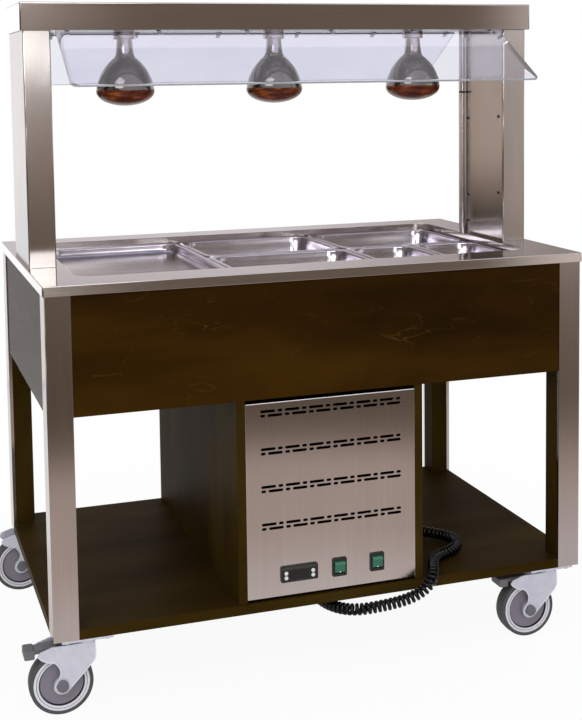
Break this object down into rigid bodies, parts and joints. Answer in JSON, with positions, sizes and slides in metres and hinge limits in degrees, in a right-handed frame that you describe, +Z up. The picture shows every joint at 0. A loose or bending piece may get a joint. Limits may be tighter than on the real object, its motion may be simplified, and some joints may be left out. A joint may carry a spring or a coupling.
{
  "type": "buffet counter",
  "caption": "Mobile hot buffet counter: dark wood body on casters, steel worktop with a well for food pans, lamp bridge with sneeze panes, vented control cabinet and curly lead.",
  "frame": {"origin": "on the floor, at the middle of the counter with its casters trailing to the left", "axes": "+X to the counter's right seen from its control side, +Y to the rear, +Z up"},
  "size_m": [1.2016, 0.7517, 1.381],
  "materials": {
    "brushed_steel": "brushed stainless sheet",
    "polished_steel": "polished stainless",
    "dark_wood": "dark stained veneer, glossy lacquer",
    "clear_pane": "clear acrylic",
    "lamp_glass": "silvered reflector, red-brown lens",
    "ceramic": "glazed ceramic",
    "heater": "silicone rubber mat",
    "black_plastic": "moulded black plastic",
    "white_plastic": "moulded white plastic",
    "green_rocker": "translucent green plastic",
    "zinc": "zinc-plated pressed steel",
    "wheel_grey": "grey moulded wheel, dark grey tyre",
    "brake_grey": "dark grey moulded plastic",
    "cord_black": "black polyurethane curly cord"
  },
  "bodies": {
    "counter": {"worktop": "brushed_steel", "well_tub": "brushed_steel", "pan_bars": "brushed_steel", "well_heater": "heater", "column_left": "brushed_steel", "column_right": "brushed_steel", "column_covers": "brushed_steel", "cover_screws": "polished_steel", "wiring_tube": "polished_steel", "bridge_housing": "brushed_steel", "bridge_floor": "brushed_steel", "lamps": "lamp_glass", "lamp_collars": "polished_steel", "lamp_holders": "ceramic", "front_pane": "clear_pane", "rear_pane": "clear_pane", "pane_clips": "polished_steel", "pane_screws": "polished_steel", "post_claddings": "brushed_steel", "post_cores": "dark_wood", "front_panel": "dark_wood", "rear_panel": "dark_wood", "side_panels": "dark_wood", "body_floor": "dark_wood", "bottom_shelf": "dark_wood", "cabinet_sides": "dark_wood", "cabinet_front": "brushed_steel", "cabinet_rear": "dark_wood", "controller": "black_plastic", "switch_bodies": "black_plastic", "control_box": "black_plastic", "caster_plates": "zinc", "caster_bolts": "zinc", "cord_gland": "black_plastic", "cord_coil": "cord_black", "mains_plug": "black_plastic", "plug_clip": "zinc"},
    "tray_left": {"tray_left": "brushed_steel"},
    "pan_middle_front": {"pan_middle_front": "brushed_steel"},
    "pan_middle_rear": {"pan_middle_rear": "brushed_steel"},
    "pan_right_rear": {"pan_right_rear": "brushed_steel"},
    "pan_quarter_inner": {"pan_quarter_inner": "brushed_steel"},
    "pan_quarter_outer": {"pan_quarter_outer": "brushed_steel"},
    "controller_button_1": {"controller_button_1": "white_plastic"},
    "controller_button_2": {"controller_button_2": "white_plastic"},
    "controller_button_3": {"controller_button_3": "white_plastic"},
    "controller_button_4": {"controller_button_4": "white_plastic"},
    "rocker_left": {"rocker_left": "green_rocker"},
    "rocker_right": {"rocker_right": "green_rocker"},
    "fork_front_left": {"fork_front_left": "zinc"},
    "fork_front_right": {"fork_front_right": "zinc"},
    "fork_rear_left": {"fork_rear_left": "zinc"},
    "fork_rear_right": {"fork_rear_right": "zinc"},
    "wheel_front_left": {"wheel_front_left": "wheel_grey"},
    "wheel_front_right": {"wheel_front_right": "wheel_grey"},
    "wheel_rear_left": {"wheel_rear_left": "wheel_grey"},
    "wheel_rear_right": {"wheel_rear_right": "wheel_grey"},
    "brake_pedal_front_left": {"brake_pedal_front_left": "brake_grey"},
    "brake_pedal_front_right": {"brake_pedal_front_right": "brake_grey"}
  },
  "joints": [
    {"name": "tray_left_lift", "type": "slide", "parent": "counter", "child": "tray_left", "axis": [0, 0, 1], "range_m": [0, 0.12]},
    {"name": "pan_middle_front_lift", "type": "slide", "parent": "counter", "child": "pan_middle_front", "axis": [0, 0, 1], "range_m": [0, 0.12]},
    {"name": "pan_middle_rear_lift", "type": "slide", "parent": "counter", "child": "pan_middle_rear", "axis": [0, 0, 1], "range_m": [0, 0.12]},
    {"name": "pan_right_rear_lift", "type": "slide", "parent": "counter", "child": "pan_right_rear", "axis": [0, 0, 1], "range_m": [0, 0.12]},
    {"name": "pan_quarter_inner_lift", "type": "slide", "parent": "counter", "child": "pan_quarter_inner", "axis": [0, 0, 1], "range_m": [0, 0.12]},
    {"name": "pan_quarter_outer_lift", "type": "slide", "parent": "counter", "child": "pan_quarter_outer", "axis": [0, 0, 1], "range_m": [0, 0.12]},
    {"name": "button_1_press", "type": "slide", "parent": "counter", "child": "controller_button_1", "axis": [0, 1, 0], "range_m": [0, 0.0008], "stiffness_N_per_m": 400},
    {"name": "button_2_press", "type": "slide", "parent": "counter", "child": "controller_button_2", "axis": [0, 1, 0], "range_m": [0, 0.0008], "stiffness_N_per_m": 400},
    {"name": "button_3_press", "type": "slide", "parent": "counter", "child": "controller_button_3", "axis": [0, 1, 0], "range_m": [0, 0.0008], "stiffness_N_per_m": 400},
    {"name": "button_4_press", "type": "slide", "parent": "counter", "child": "controller_button_4", "axis": [0, 1, 0], "range_m": [0, 0.0008], "stiffness_N_per_m": 400},
    {"name": "rocker_left_tilt", "type": "hinge", "parent": "counter", "child": "rocker_left", "pos_m": [0.03915, -0.347, 0.2215], "axis": [-1, 0, 0], "range_deg": [0, 16]},
    {"name": "rocker_right_tilt", "type": "hinge", "parent": "counter", "child": "rocker_right", "pos_m": [0.12215, -0.347, 0.2215], "axis": [-1, 0, 0], "range_deg": [0, 16]},
    {"name": "swivel_front_left", "type": "hinge", "parent": "counter", "child": "fork_front_left", "pos_m": [-0.48025, -0.322, 0.145], "axis": [0, 0, 1], "continuous": true},
    {"name": "roll_front_left", "type": "hinge", "parent": "fork_front_left", "child": "wheel_front_left", "pos_m": [-0.53025, -0.322, 0.0625], "axis": [0, 1, 0], "continuous": true},
    {"name": "swivel_front_right", "type": "hinge", "parent": "counter", "child": "fork_front_right", "pos_m": [0.53175, -0.322, 0.145], "axis": [0, 0, 1], "continuous": true},
    {"name": "roll_front_right", "type": "hinge", "parent": "fork_front_right", "child": "wheel_front_right", "pos_m": [0.48175, -0.322, 0.0625], "axis": [0, 1, 0], "continuous": true},
    {"name": "swivel_rear_left", "type": "hinge", "parent": "counter", "child": "fork_rear_left", "pos_m": [-0.48025, 0.322, 0.145], "axis": [0, 0, 1], "continuous": true},
    {"name": "roll_rear_left", "type": "hinge", "parent": "fork_rear_left", "child": "wheel_rear_left", "pos_m": [-0.53025, 0.322, 0.0625], "axis": [0, 1, 0], "continuous": true},
    {"name": "swivel_rear_right", "type": "hinge", "parent": "counter", "child": "fork_rear_right", "pos_m": [0.53175, 0.322, 0.145], "axis": [0, 0, 1], "continuous": true},
    {"name": "roll_rear_right", "type": "hinge", "parent": "fork_rear_right", "child": "wheel_rear_right", "pos_m": [0.48175, 0.322, 0.0625], "axis": [0, 1, 0], "continuous": true},
    {"name": "brake_front_left", "type": "hinge", "parent": "fork_front_left", "child": "brake_pedal_front_left", "pos_m": [-0.53825, -0.322, 0.1325], "axis": [0, -1, 0], "range_deg": [0, 12]},
    {"name": "brake_front_right", "type": "hinge", "parent": "fork_front_right", "child": "brake_pedal_front_right", "pos_m": [0.47375, -0.322, 0.1325], "axis": [0, -1, 0], "range_deg": [0, 12]}
  ]
}
